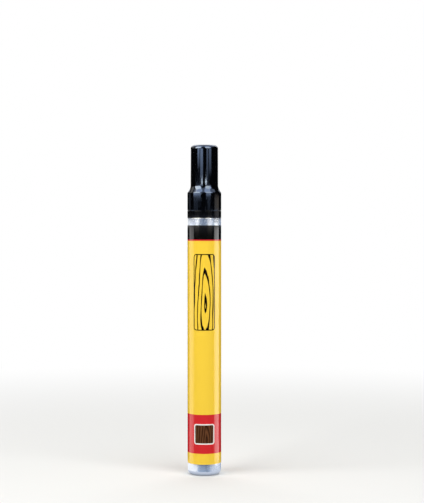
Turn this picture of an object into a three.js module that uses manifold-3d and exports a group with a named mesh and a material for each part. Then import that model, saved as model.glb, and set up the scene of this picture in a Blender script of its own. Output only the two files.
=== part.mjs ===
// A valve-action wood stain marker: an aluminium barrel with a wrapped film label, a black nib holder
// pressed into its mouth, a spring valve that the felt nib opens, a mixing ball and a pull-off cap.
// Millimetres, +Z up. The origin is the centre of the barrel's base, and the cap is at the top.
import * as THREE from 'three';
import { mergeVertices } from 'three/addons/utils/BufferGeometryUtils.js';
import Module from 'manifold-3d';

// Barrel: an impact-extruded aluminium tube, closed at the base
const BARREL_DIAMETER = 14.4;
const BARREL_WALL = 0.4;
const BARREL_LENGTH = 110.8;
const BASE_THICKNESS = 0.9;
const BASE_CORNER_RADIUS = 2.0;
const BASE_RING_WIDTH = 1.1;
const BASE_RECESS_DEPTH = 0.4;

// Wrap label: a printed film round the barrel, its two edges meeting at the back
const LABEL_THICKNESS = 0.07;
const LABEL_ADHESIVE = 0.03;
const LABEL_BOTTOM_MARGIN = 5.0;
const LABEL_TOP_MARGIN = 3.15;
const LABEL_SEAM_WIDTH = 0.8;

// Felt nib: a bullet-tipped rod that slides in the holder
const NIB_DIAMETER = 5.0;
const NIB_LENGTH = 26.0;
const NIB_PROJECTION = 5.0;
const NIB_DOME_LENGTH = 3.6;
const NIB_END_CHAMFER = 0.3;
const NIB_CLEARANCE = 0.1;
const NIB_TRAVEL = 2.5;

// Nib holder: a black moulding with a ribbed plug, a collar, a spigot for the cap and a nose
const PLUG_CLEARANCE = 0.3;
const PLUG_LEAD_IN = 0.5;
const SEAL_RIB_COUNT = 3;
const SEAL_RIB_PITCH = 2.4;
const SEAL_RIB_HEIGHT = 0.22;
const SEAL_RIB_WIDTH = 0.8;
const SOCKET_WALL = 1.0;
const SOCKET_GRIP = 5.0;
const COLLAR_HEIGHT = 3.0;
const COLLAR_CHAMFER = 0.25;
const COLLAR_SEAT_GAP = 0.05;
const GRIP_BEAD_HEIGHT = 0.1;
const GRIP_BEAD_WIDTH = 1.0;
const NOSE_WALL = 1.5;
const NOSE_LENGTH = 6.0;
const NOSE_CHAMFER = 0.7;
const MOUTH_CHAMFER = 0.3;
const FEED_GROOVE_COUNT = 4;
const FEED_GROOVE_WIDTH = 0.9;
const FEED_GROOVE_DEPTH = 0.5;

// Valve: a gasket, a plunger behind the nib, its return spring and the cage that holds them
const GASKET_THICKNESS = 1.2;
const GASKET_CLEARANCE = 0.2;
const PLUNGER_DIAMETER = 2.4;
const PLUNGER_HEAD_DIAMETER = 3.0;
const PLUNGER_HEAD_THICKNESS = 0.8;
const PLUNGER_END_CLEARANCE = 0.3;
const PLUNGER_CHAMFER = 0.3;
const POPPET_THICKNESS = 1.2;
const POPPET_FLOW_GAP = 1.2;
const TAIL_DIAMETER = 2.0;
const TAIL_PROTRUSION = 0.3;
const TAIL_CLEARANCE = 0.15;
const SPRING_WIRE = 0.5;
const SPRING_TURNS = 6;
const SPRING_LENGTH = 8.0;
const SPRING_CLEARANCE = 0.5;
const CAGE_WALL = 0.8;
const CAGE_FLOOR = 1.0;
const CAGE_CLEARANCE = 0.08;
const PORT_COUNT = 4;
const PORT_WIDTH = 3.0;
const PORT_MARGIN = 0.6;
const STACK_GAP = 0.05;

// Mixing ball: a loose steel ball on the floor of the barrel
const BALL_DIAMETER = 6.0;

// Cap: a black glossy shell, stepped in at its shoulder, with a soft inner seal over the nose
const CAP_WALL = 1.0;
const CAP_TOP_THICKNESS = 1.2;
const CAP_TOP_FILLET = 1.4;
const CAP_SKIRT_HEIGHT = 6.3;
const CAP_SHOULDER_HEIGHT = 3.5;
const CAP_SHOULDER_CROWN = 1.2;
const CAP_RIM_CHAMFER = 0.25;
const CAP_RIM_GAP = 0.2;
const CAP_CLEARANCE = 0.15;
const CAP_HEADROOM = 5.4;
const SEAL_WALL = 0.65;
const SEAL_TOP_THICKNESS = 0.8;
const SEAL_NOSE_CLEARANCE = 0.1;
const SEAL_FIT_CLEARANCE = 0.1;
const SEAL_STANDOFF = 0.4;
const SEAL_LEAD_IN = 0.3;

// Facets
const SHELL_SEGMENTS = 48;
const INNER_SEGMENTS = 32;
const ARC_STEPS = 5;
const SPRING_STEPS_PER_TURN = 12;
const SPRING_SIDES = 6;
const BALL_SEGMENTS = 20;
const BALL_RINGS = 12;

// Finishes
const FINISHES = {
  drawnAluminium: { color: 0xc9ced6, roughness: 0.35, metalness: 1 },
  printedFilm: { color: 0xf7d142, roughness: 0.35, metalness: 0 },
  glossBlackPlastic: { color: 0x08090c, roughness: 0.15, metalness: 0 },
  blackPolypropylene: { color: 0x0d0e11, roughness: 0.3, metalness: 0 },
  naturalPlastic: { color: 0xe6e4dc, roughness: 0.45, metalness: 0 },
  nitrileRubber: { color: 0x1c1c1e, roughness: 0.8, metalness: 0 },
  polyesterFelt: { color: 0xe9e3d2, roughness: 0.95, metalness: 0 },
  polishedSteel: { color: 0xc0c3c6, roughness: 0.25, metalness: 1 },
};

// Radii of the barrel and of what stands flush with its label, from the outside in
const barrelRadius = BARREL_DIAMETER / 2;
const boreRadius = barrelRadius - BARREL_WALL;
const floorHeight = BASE_RECESS_DEPTH + BASE_THICKNESS;
const labelInnerRadius = barrelRadius + LABEL_ADHESIVE;
const shellRadius = labelInnerRadius + LABEL_THICKNESS;
const plugRadius = boreRadius - PLUG_CLEARANCE;
const socketRadius = plugRadius - SOCKET_WALL;
const cageRadius = socketRadius - CAGE_CLEARANCE;
const cageBoreRadius = cageRadius - CAGE_WALL;
const poppetRadius = cageBoreRadius - POPPET_FLOW_GAP;
const skirtBoreRadius = shellRadius - CAP_WALL;
const spigotRadius = skirtBoreRadius - CAP_CLEARANCE;

// Radii of the nib and of what goes round it, from the inside out
const nibRadius = NIB_DIAMETER / 2;
const channelRadius = nibRadius + NIB_CLEARANCE;
const noseRadius = channelRadius + NOSE_WALL;
const sealInnerRadius = noseRadius + SEAL_NOSE_CLEARANCE;
const sealOuterRadius = sealInnerRadius + SEAL_WALL;
const capBoreRadius = sealOuterRadius + SEAL_FIT_CLEARANCE;
const capTopRadius = capBoreRadius + CAP_WALL;
const headRadius = PLUNGER_HEAD_DIAMETER / 2;
const gasketHoleRadius = headRadius + GASKET_CLEARANCE;
const tailRadius = TAIL_DIAMETER / 2;
const springRadius = tailRadius + SPRING_CLEARANCE + SPRING_WIRE / 2;

// Heights above the barrel's mouth
const rimHeight = COLLAR_HEIGHT + CAP_RIM_GAP;
const shoulderBottom = rimHeight + CAP_SKIRT_HEIGHT;
const shoulderTop = shoulderBottom + CAP_SHOULDER_HEIGHT;
const noseTop = shoulderTop + NOSE_LENGTH;
const nibTip = noseTop + NIB_PROJECTION;
const nibRear = nibTip - NIB_LENGTH;
const headTop = nibRear - STACK_GAP;
const seatHeight = headTop - PLUNGER_HEAD_THICKNESS - NIB_TRAVEL - PLUNGER_END_CLEARANCE;
const plugBottom = seatHeight - GASKET_THICKNESS - SOCKET_GRIP;

// Heights below the holder's seat for the valve
const gasketTop = -STACK_GAP;
const gasketBottom = gasketTop - GASKET_THICKNESS;
const cageTop = gasketBottom - STACK_GAP;
const poppetTop = gasketBottom - STACK_GAP;
const poppetBottom = poppetTop - POPPET_THICKNESS;
const springTop = poppetBottom - STACK_GAP;
const springBottom = springTop - SPRING_LENGTH;
const cageFloorTop = springBottom - STACK_GAP;
const cageBottom = cageFloorTop - CAGE_FLOOR;

const wasm = await Module();
wasm.setup();

// Points on a circular arc of a profile, between two angles in degrees
function arc(centreRadius, centreHeight, radius, fromAngle, toAngle) {
  const points = [];
  for (let step = 0; step <= ARC_STEPS; step += 1) {
    const angle = THREE.MathUtils.degToRad(fromAngle + ((toAngle - fromAngle) * step) / ARC_STEPS);
    points.push([centreRadius + radius * Math.cos(angle), centreHeight + radius * Math.sin(angle)]);
  }
  return points;
}

// A solid turned about Z from a profile of [radius, height] points, up the outside and down the inside
function turned(profile, segments) {
  const points = profile.map(([radius, height]) => new THREE.Vector2(radius, height));
  return new THREE.LatheGeometry(points, segments).rotateX(Math.PI / 2);
}

// A closed geometry as a solid that can be cut
function toSolid(geometry) {
  const bare = geometry.clone();
  bare.deleteAttribute('normal');
  bare.deleteAttribute('uv');
  const merged = mergeVertices(bare);
  const vertProperties = merged.getAttribute('position').array;
  const triVerts = new Uint32Array(merged.index.array);
  return new wasm.Manifold(new wasm.Mesh({ numProp: 3, vertProperties, triVerts }));
}

// A cut solid as a geometry again
function toGeometry(solid) {
  const { vertProperties, triVerts } = solid.getMesh();
  const geometry = new THREE.BufferGeometry();
  geometry.setAttribute('position', new THREE.BufferAttribute(vertProperties, 3));
  geometry.setIndex(new THREE.BufferAttribute(triVerts, 1));
  geometry.computeVertexNormals();
  return geometry;
}

// Cuts a ring of equal tools, spaced evenly about Z, from a body
function cutRing(body, tool, count) {
  let solid = toSolid(body);
  for (let index = 0; index < count; index += 1) {
    const turn = (index * 2 * Math.PI) / count;
    solid = solid.subtract(toSolid(tool.clone().rotateZ(turn)));
  }
  return toGeometry(solid);
}

// A box that reaches from the axis out to a radius along X, between two heights
function radialBox(width, reach, bottom, top) {
  const box = new THREE.BoxGeometry(reach, width, top - bottom);
  return box.translate(reach / 2, 0, (bottom + top) / 2);
}

// A named piece with a material of its own
function piece(name, geometry, finish) {
  const mesh = new THREE.Mesh(geometry, new THREE.MeshStandardMaterial(finish));
  mesh.name = name;
  return mesh;
}

// Barrel: heights are above the surface that it stands on
function barrelGeometry() {
  const cornerRadius = barrelRadius - BASE_CORNER_RADIUS;
  const recessRadius = cornerRadius - BASE_RING_WIDTH - BASE_RECESS_DEPTH;
  const innerCorner = BASE_CORNER_RADIUS - BARREL_WALL;
  const profile = [
    [0, BASE_RECESS_DEPTH],
    [recessRadius, BASE_RECESS_DEPTH],
    [recessRadius + BASE_RECESS_DEPTH, 0],
    ...arc(cornerRadius, BASE_CORNER_RADIUS, BASE_CORNER_RADIUS, -90, 0),
    [barrelRadius, BARREL_LENGTH],
    [boreRadius, BARREL_LENGTH],
    ...arc(boreRadius - innerCorner, floorHeight + innerCorner, innerCorner, 0, -90),
    [0, floorHeight],
  ];
  return turned(profile, SHELL_SEGMENTS);
}

// Wrap label: a C-shaped film whose seam faces the back, +Y
function labelGeometry() {
  const halfSeam = LABEL_SEAM_WIDTH / 2 / shellRadius;
  const seamStart = Math.PI / 2 + halfSeam;
  const seamEnd = Math.PI / 2 + 2 * Math.PI - halfSeam;
  const section = new THREE.Shape();
  section.absarc(0, 0, shellRadius, seamStart, seamEnd, false);
  section.absarc(0, 0, labelInnerRadius, seamEnd, seamStart, true);
  const depth = BARREL_LENGTH - LABEL_BOTTOM_MARGIN - LABEL_TOP_MARGIN;
  return new THREE.ExtrudeGeometry(section, { depth, curveSegments: SHELL_SEGMENTS, bevelEnabled: false });
}

// Mixing ball
function ballGeometry() {
  return new THREE.SphereGeometry(BALL_DIAMETER / 2, BALL_SEGMENTS, BALL_RINGS).rotateX(Math.PI / 2);
}

// Nib holder: heights are above the barrel's mouth
function holderGeometry() {
  const ribs = [];
  for (let index = SEAL_RIB_COUNT; index > 0; index -= 1) {
    const middle = -index * SEAL_RIB_PITCH;
    ribs.push([plugRadius, middle - SEAL_RIB_WIDTH / 2]);
    ribs.push([plugRadius + SEAL_RIB_HEIGHT, middle]);
    ribs.push([plugRadius, middle + SEAL_RIB_WIDTH / 2]);
  }
  const spigotTop = shoulderBottom - CAP_CLEARANCE;
  const beadHeight = (COLLAR_HEIGHT + spigotTop) / 2;
  const profile = [
    [socketRadius, plugBottom],
    [plugRadius - PLUG_LEAD_IN, plugBottom],
    [plugRadius, plugBottom + PLUG_LEAD_IN],
    ...ribs,
    [plugRadius, COLLAR_SEAT_GAP],
    [shellRadius, COLLAR_SEAT_GAP],
    [shellRadius, COLLAR_HEIGHT - COLLAR_CHAMFER],
    [shellRadius - COLLAR_CHAMFER, COLLAR_HEIGHT],
    [spigotRadius, COLLAR_HEIGHT],
    [spigotRadius, beadHeight - GRIP_BEAD_WIDTH / 2],
    [spigotRadius + GRIP_BEAD_HEIGHT, beadHeight],
    [spigotRadius, beadHeight + GRIP_BEAD_WIDTH / 2],
    [spigotRadius, spigotTop],
    [noseRadius, shoulderTop - CAP_WALL],
    [noseRadius, noseTop - NOSE_CHAMFER],
    [noseRadius - NOSE_CHAMFER, noseTop],
    [channelRadius + MOUTH_CHAMFER, noseTop],
    [channelRadius, noseTop - MOUTH_CHAMFER],
    [channelRadius, seatHeight],
    [socketRadius, seatHeight],
    [socketRadius, plugBottom],
  ];
  const body = turned(profile, SHELL_SEGMENTS);
  const grooveReach = channelRadius + FEED_GROOVE_DEPTH;
  const groove = radialBox(FEED_GROOVE_WIDTH, grooveReach, seatHeight - STACK_GAP, noseTop + STACK_GAP);
  return cutRing(body, groove, FEED_GROOVE_COUNT);
}

// Felt nib: heights are above the barrel's mouth
function nibGeometry() {
  const domeBase = nibTip - NIB_DOME_LENGTH;
  const dome = arc(0, 0, 1, 0, 90).map(([across, up]) => [nibRadius * across, domeBase + NIB_DOME_LENGTH * up]);
  dome[dome.length - 1][0] = 0;
  const profile = [
    [0, nibRear],
    [nibRadius - NIB_END_CHAMFER, nibRear],
    [nibRadius, nibRear + NIB_END_CHAMFER],
    ...dome,
  ];
  return turned(profile, INNER_SEGMENTS);
}

// Valve gasket: a flat rubber ring under the holder's seat
function gasketGeometry() {
  const profile = [
    [gasketHoleRadius, gasketBottom],
    [cageRadius, gasketBottom],
    [cageRadius, gasketTop],
    [gasketHoleRadius, gasketTop],
    [gasketHoleRadius, gasketBottom],
  ];
  return turned(profile, INNER_SEGMENTS);
}

// Valve plunger: a head under the nib, a poppet under the gasket and a tail through the spring
function plungerGeometry() {
  const stemRadius = PLUNGER_DIAMETER / 2;
  const headHeight = headTop - seatHeight;
  const tailBottom = cageBottom - TAIL_PROTRUSION;
  const profile = [
    [0, tailBottom],
    [tailRadius - PLUNGER_CHAMFER, tailBottom],
    [tailRadius, tailBottom + PLUNGER_CHAMFER],
    [tailRadius, poppetBottom],
    [poppetRadius, poppetBottom],
    [poppetRadius, poppetTop - PLUNGER_CHAMFER],
    [poppetRadius - PLUNGER_CHAMFER, poppetTop],
    [stemRadius, poppetTop],
    [stemRadius, headHeight - PLUNGER_HEAD_THICKNESS],
    [headRadius, headHeight - PLUNGER_HEAD_THICKNESS],
    [headRadius, headHeight - PLUNGER_CHAMFER],
    [headRadius - PLUNGER_CHAMFER, headHeight],
    [0, headHeight],
  ];
  return turned(profile, INNER_SEGMENTS);
}

// Least distance between the wire's surfaces on neighbouring turns
function springGap(curve, steps) {
  const points = curve.getPoints(steps);
  let least = Infinity;
  points.forEach((point, index) => {
    points.slice(index + SPRING_STEPS_PER_TURN / 2).forEach((other) => {
      least = Math.min(least, point.distanceTo(other) - SPRING_WIRE);
    });
  });
  return least;
}

// Valve spring: an open coil about the plunger's tail, from the cage's floor to the poppet
class SpringCurve extends THREE.Curve {
  getPoint(share, target = new THREE.Vector3()) {
    const angle = share * SPRING_TURNS * 2 * Math.PI;
    const height = springBottom + SPRING_WIRE / 2 + share * (SPRING_LENGTH - SPRING_WIRE);
    return target.set(springRadius * Math.cos(angle), springRadius * Math.sin(angle), height);
  }
}

function springGeometry() {
  const curve = new SpringCurve();
  const steps = SPRING_TURNS * SPRING_STEPS_PER_TURN;
  console.log(`least gap in the spring: ${springGap(curve, steps).toFixed(2)} mm`);
  const section = new THREE.Shape();
  section.absarc(0, 0, SPRING_WIRE / 2, 0, 2 * Math.PI, false);
  const settings = { steps, extrudePath: curve, curveSegments: SPRING_SIDES, bevelEnabled: false };
  return new THREE.ExtrudeGeometry(section, settings);
}

// Valve cage: a cup pushed into the holder's socket, with ports that let the stain in
function cageGeometry() {
  const guideRadius = tailRadius + TAIL_CLEARANCE;
  const profile = [
    [guideRadius, cageBottom],
    [cageRadius, cageBottom],
    [cageRadius, cageTop],
    [cageBoreRadius, cageTop],
    [cageBoreRadius, cageFloorTop],
    [guideRadius, cageFloorTop],
    [guideRadius, cageBottom],
  ];
  const portTop = plugBottom - seatHeight - PORT_MARGIN;
  const port = radialBox(PORT_WIDTH, cageRadius + CAGE_WALL, cageFloorTop, portTop);
  return cutRing(turned(profile, INNER_SEGMENTS), port, PORT_COUNT);
}

// Cap shell: heights are above the barrel's mouth
function capGeometry() {
  const innerTop = nibTip + CAP_HEADROOM + SEAL_TOP_THICKNESS + STACK_GAP;
  const top = innerTop + CAP_TOP_THICKNESS;
  const shoulder = new THREE.QuadraticBezierCurve(
    new THREE.Vector2(shellRadius, shoulderBottom),
    new THREE.Vector2(shellRadius, shoulderBottom + CAP_SHOULDER_CROWN),
    new THREE.Vector2(capTopRadius, shoulderTop),
  );
  const profile = [
    [0, innerTop],
    [capBoreRadius, innerTop],
    [capBoreRadius, shoulderTop],
    [skirtBoreRadius, shoulderBottom],
    [skirtBoreRadius, rimHeight],
    [shellRadius - CAP_RIM_CHAMFER, rimHeight],
    [shellRadius, rimHeight + CAP_RIM_CHAMFER],
    ...shoulder.getPoints(ARC_STEPS).map((point) => [point.x, point.y]),
    ...arc(capTopRadius - CAP_TOP_FILLET, top - CAP_TOP_FILLET, CAP_TOP_FILLET, 0, 90),
    [0, top],
  ];
  return turned(profile, SHELL_SEGMENTS);
}

// Cap inner seal: a soft cup inside the cap that closes over the nose
function sealGeometry() {
  const innerTop = nibTip + CAP_HEADROOM;
  const bottom = shoulderTop + SEAL_STANDOFF;
  const profile = [
    [0, innerTop],
    [sealInnerRadius, innerTop],
    [sealInnerRadius, bottom + SEAL_LEAD_IN],
    [sealInnerRadius + SEAL_LEAD_IN, bottom],
    [sealOuterRadius, bottom],
    [sealOuterRadius, innerTop + SEAL_TOP_THICKNESS],
    [0, innerTop + SEAL_TOP_THICKNESS],
  ];
  return turned(profile, INNER_SEGMENTS);
}

const label = piece('wrap_label', labelGeometry(), FINISHES.printedFilm);
label.position.z = LABEL_BOTTOM_MARGIN;

const ball = piece('mixing_ball', ballGeometry(), FINISHES.polishedSteel);
ball.position.z = floorHeight + STACK_GAP + BALL_DIAMETER / 2;

const valve = new THREE.Group();
valve.position.z = seatHeight;
valve.add(
  piece('valve_gasket', gasketGeometry(), FINISHES.nitrileRubber),
  piece('valve_plunger', plungerGeometry(), FINISHES.naturalPlastic),
  piece('valve_spring', springGeometry(), FINISHES.polishedSteel),
  piece('valve_cage', cageGeometry(), FINISHES.naturalPlastic),
);

const frontSection = new THREE.Group();
frontSection.position.z = BARREL_LENGTH;
frontSection.add(
  piece('nib_holder', holderGeometry(), FINISHES.blackPolypropylene),
  piece('felt_nib', nibGeometry(), FINISHES.polyesterFelt),
  piece('cap_shell', capGeometry(), FINISHES.glossBlackPlastic),
  piece('cap_inner_seal', sealGeometry(), FINISHES.naturalPlastic),
  valve,
);

const marker = new THREE.Group();
marker.add(piece('barrel', barrelGeometry(), FINISHES.drawnAluminium), label, ball, frontSection);

export default marker;
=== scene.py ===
# %% [markdown]
# # A valve-action wood stain marker
# The marker stands on its base with its cap on. Its pieces come from a packed engineering model, the
# frame, which fixes every size. This lesson gives each piece a smooth shape and the finish of its real
# material, and lights it as a small product is lit in a studio.

# %% Load the frame
import math

import bmesh
import bpy
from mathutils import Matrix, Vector


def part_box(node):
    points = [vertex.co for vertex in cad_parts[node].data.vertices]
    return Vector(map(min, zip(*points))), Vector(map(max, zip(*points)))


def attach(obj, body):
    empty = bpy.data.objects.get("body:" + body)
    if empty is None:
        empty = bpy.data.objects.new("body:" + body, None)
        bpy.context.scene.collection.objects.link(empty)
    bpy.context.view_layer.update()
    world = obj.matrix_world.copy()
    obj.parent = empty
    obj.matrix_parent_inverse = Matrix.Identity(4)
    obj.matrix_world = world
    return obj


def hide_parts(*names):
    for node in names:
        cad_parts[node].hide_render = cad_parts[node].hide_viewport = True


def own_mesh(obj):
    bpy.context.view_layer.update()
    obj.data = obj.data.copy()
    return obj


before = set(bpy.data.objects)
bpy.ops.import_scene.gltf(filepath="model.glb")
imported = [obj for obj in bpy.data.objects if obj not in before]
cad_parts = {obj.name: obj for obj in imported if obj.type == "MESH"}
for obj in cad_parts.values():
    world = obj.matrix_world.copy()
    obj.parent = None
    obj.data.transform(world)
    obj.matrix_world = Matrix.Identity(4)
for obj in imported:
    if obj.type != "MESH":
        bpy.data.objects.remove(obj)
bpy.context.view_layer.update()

MM = 0.001
scene = bpy.context.scene
scene.view_settings.view_transform = "Standard"


def place_object(name, data):
    thing = bpy.data.objects.new(name, data)
    scene.collection.objects.link(thing)
    return thing


print("nodes in the frame:", ", ".join(sorted(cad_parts)))

# %% [markdown]
# ## Camera
# The label's bands run straight near the collar and sag more and more towards the base. A lens sees that
# when it stands level with the collar and close by, so the camera is set there, 580 mm away, and tips down
# a little to frame the marker. The focal length in pixels turns into a lens length through the sensor's
# long side.

# %% Camera
IMAGE_HEIGHT = 503
FOCAL_PIXELS = 1341
CAMERA_ASIDE, CAMERA_DISTANCE, CAMERA_HEIGHT = 3.31, 580, 109.45
CAMERA_PITCH = -1.297
camera_data = bpy.data.cameras.new("camera")
camera_data.lens = camera_data.sensor_width * FOCAL_PIXELS / IMAGE_HEIGHT
camera = place_object("camera", camera_data)
camera.location = (CAMERA_ASIDE * MM, -CAMERA_DISTANCE * MM, CAMERA_HEIGHT * MM)
camera.rotation_euler = (math.radians(90 + CAMERA_PITCH), 0, 0)
scene.camera = camera
print(f"lens {camera_data.lens:.1f} mm")

# %% [markdown]
# ## Colours and nodes
# Colours are written as they look on a screen, in sRGB hex, and the shaders want linear light, so one
# function turns one into the other, with the numbers of the sRGB standard. A second function adds a node,
# sets it, and links or fills its inputs. A third turns the size of a pattern's features, in millimetres,
# into the scale that a texture node wants.

# %% Colours and nodes
def linear(hex_colour):
    channels = [int(hex_colour[start:start + 2], 16) / 255 for start in (1, 3, 5)]
    light = [c / 12.92 if c <= 0.04045 else ((c + 0.055) / 1.055) ** 2.4 for c in channels]
    return (*light, 1.0)


def add_node(tree, kind, inputs=None, **settings):
    node = tree.nodes.new(kind)
    for key, value in settings.items():
        setattr(node, key, value)
    for key, value in (inputs or {}).items():
        if isinstance(value, bpy.types.NodeSocket):
            tree.links.new(value, node.inputs[key])
        else:
            node.inputs[key].default_value = value
    return node


def per_metre(feature_mm):
    return 1 / (feature_mm * MM)


print("mid grey in linear light:", round(linear("#808080")[0], 3))

# %% [markdown]
# ## World
# The studio is white where the lens, a metal or a clear plastic looks past the marker. The light that the
# world sends onto the marker is a weaker fill, so that the lamps shape it. The Light Path node tells the
# two apart, by the kind of ray that arrives.

# %% World
WHITE = "#FFFFFF"
FILL_STRENGTH, WHITE_STRENGTH = 0.24, 1.0


def seen_directly(tree):
    ray = add_node(tree, "ShaderNodeLightPath")
    seen = ray.outputs["Is Camera Ray"]
    for kind in ("Is Glossy Ray", "Is Transmission Ray"):
        either = add_node(tree, "ShaderNodeMath", operation="MAXIMUM", inputs={0: seen, 1: ray.outputs[kind]})
        seen = either.outputs[0]
    return seen


world = bpy.data.worlds.new("studio")
scene.world = world
world.use_nodes = True
tree = world.node_tree
tree.nodes.clear()
fill = add_node(tree, "ShaderNodeBackground", inputs={"Color": linear(WHITE), "Strength": FILL_STRENGTH})
white = add_node(tree, "ShaderNodeBackground", inputs={"Color": linear(WHITE), "Strength": WHITE_STRENGTH})
studio = add_node(tree, "ShaderNodeMixShader",
                  inputs={0: seen_directly(tree), 1: fill.outputs[0], 2: white.outputs[0]})
add_node(tree, "ShaderNodeOutputWorld", inputs={"Surface": studio.outputs[0]})
print("world fill", FILL_STRENGTH)

# %% [markdown]
# ## Floor
# A sheet of matt white paper. Close to the marker it is plain paper that takes the marker's shadow. Further
# out it fades into the white of the studio, so that no edge shows behind the marker.

# %% Floor
PAPER_COLOUR = "#E4E4E2"
PAPER_HALF, PAPER_DROP = 3.0, 0.02 * MM
FADE_START, FADE_END = 0.12, 0.45
floor_mesh = bpy.data.meshes.new("paper_floor")
floor_sides = ((-1, -1), (1, -1), (1, 1), (-1, 1))
floor_corners = [(x * PAPER_HALF, y * PAPER_HALF, -PAPER_DROP) for x, y in floor_sides]
floor_mesh.from_pydata(floor_corners, [], [(0, 1, 2, 3)])
floor = place_object("paper_floor", floor_mesh)

paper = bpy.data.materials.new("matt_white_paper")
paper.use_nodes = True
tree = paper.node_tree
tree.nodes.clear()
place = add_node(tree, "ShaderNodeTexCoord")
away = add_node(tree, "ShaderNodeVectorMath", operation="LENGTH", inputs={0: place.outputs["Object"]})
fade = add_node(tree, "ShaderNodeMapRange", interpolation_type="SMOOTHSTEP",
                inputs={"Value": away.outputs["Value"], "From Min": FADE_START, "From Max": FADE_END})
share = add_node(tree, "ShaderNodeMath", operation="MULTIPLY",
                 inputs={0: fade.outputs[0], 1: seen_directly(tree)})
near = add_node(tree, "ShaderNodeBsdfDiffuse", inputs={"Color": linear(PAPER_COLOUR)})
far = add_node(tree, "ShaderNodeEmission", inputs={"Color": linear(WHITE), "Strength": WHITE_STRENGTH})
both = add_node(tree, "ShaderNodeMixShader",
                inputs={0: share.outputs[0], 1: near.outputs[0], 2: far.outputs[0]})
add_node(tree, "ShaderNodeOutputMaterial", inputs={"Surface": both.outputs[0]})
floor_mesh.materials.append(paper)
print("paper floor at", floor_mesh.vertices[0].co.z, "m")

# %% [markdown]
# ## Lamps
# Two soft boxes in front, each with a bright lower half and a dimmer upper half, light the marker from
# above left and above right. A third lights its back. Each box is given by the angles that it fills, seen
# from the cap: round from the camera's direction, and up from the horizon. Its brightness is that of its
# face, where 1 is white paper in full light, and Blender's watts follow from the face's area.

# %% Lamps
LAMP_TARGET = Vector((0, 0, 122)) * MM
LAMP_DISTANCE = 600 * MM
FRONT_ARCS = {"left": (-82, -28), "right": (8, 62)}
LOW_LIFT, LOW_BRIGHTNESS = (22, 46), 4.6
HIGH_LIFT, HIGH_BRIGHTNESS = (46, 68), 2.4
BACK_ARC, BACK_LIFT, BACK_BRIGHTNESS = (140, 220), (20, 60), 2.0


def soft_box(name, arc, lift, brightness):
    turn = math.radians(sum(arc) / 2)
    rise = math.radians(sum(lift) / 2)
    outward = Vector((math.cos(rise) * math.sin(turn), -math.cos(rise) * math.cos(turn), math.sin(rise)))
    data = bpy.data.lights.new(name, "AREA")
    data.shape = "RECTANGLE"
    data.size = 2 * LAMP_DISTANCE * math.cos(rise) * math.tan(math.radians(arc[1] - arc[0]) / 2)
    data.size_y = 2 * LAMP_DISTANCE * math.tan(math.radians(lift[1] - lift[0]) / 2)
    data.energy = brightness * math.pi * data.size * data.size_y
    lamp = place_object(name, data)
    lamp.location = LAMP_TARGET + outward * LAMP_DISTANCE
    lamp.rotation_euler = (-outward).to_track_quat("-Z", "Y").to_euler()
    lamp.visible_camera = False


for side, arc in FRONT_ARCS.items():
    soft_box(f"{side}_box_low", arc, LOW_LIFT, LOW_BRIGHTNESS)
    soft_box(f"{side}_box_high", arc, HIGH_LIFT, HIGH_BRIGHTNESS)
soft_box("back_box", BACK_ARC, BACK_LIFT, BACK_BRIGHTNESS)

# %% [markdown]
# ## Reflector tent
# Gloss shows what stands round the object. On a white set, black plastic looks grey and bare metal looks
# flat, so a photographer stands black card round it and hangs strips of lit paper where a highlight is
# wanted. The tent here is that card and paper. Only mirror reflections see it, so it adds no light and no
# shadow. A strip at an angle shows on a round wall at half that angle.
#
# Each part of the tent runs between two rings, each given as radius and height in millimetres. Its strips
# each have the two ends of their arc, as angles from the camera's direction, their brightness at the two
# rings, and a tint.

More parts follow.
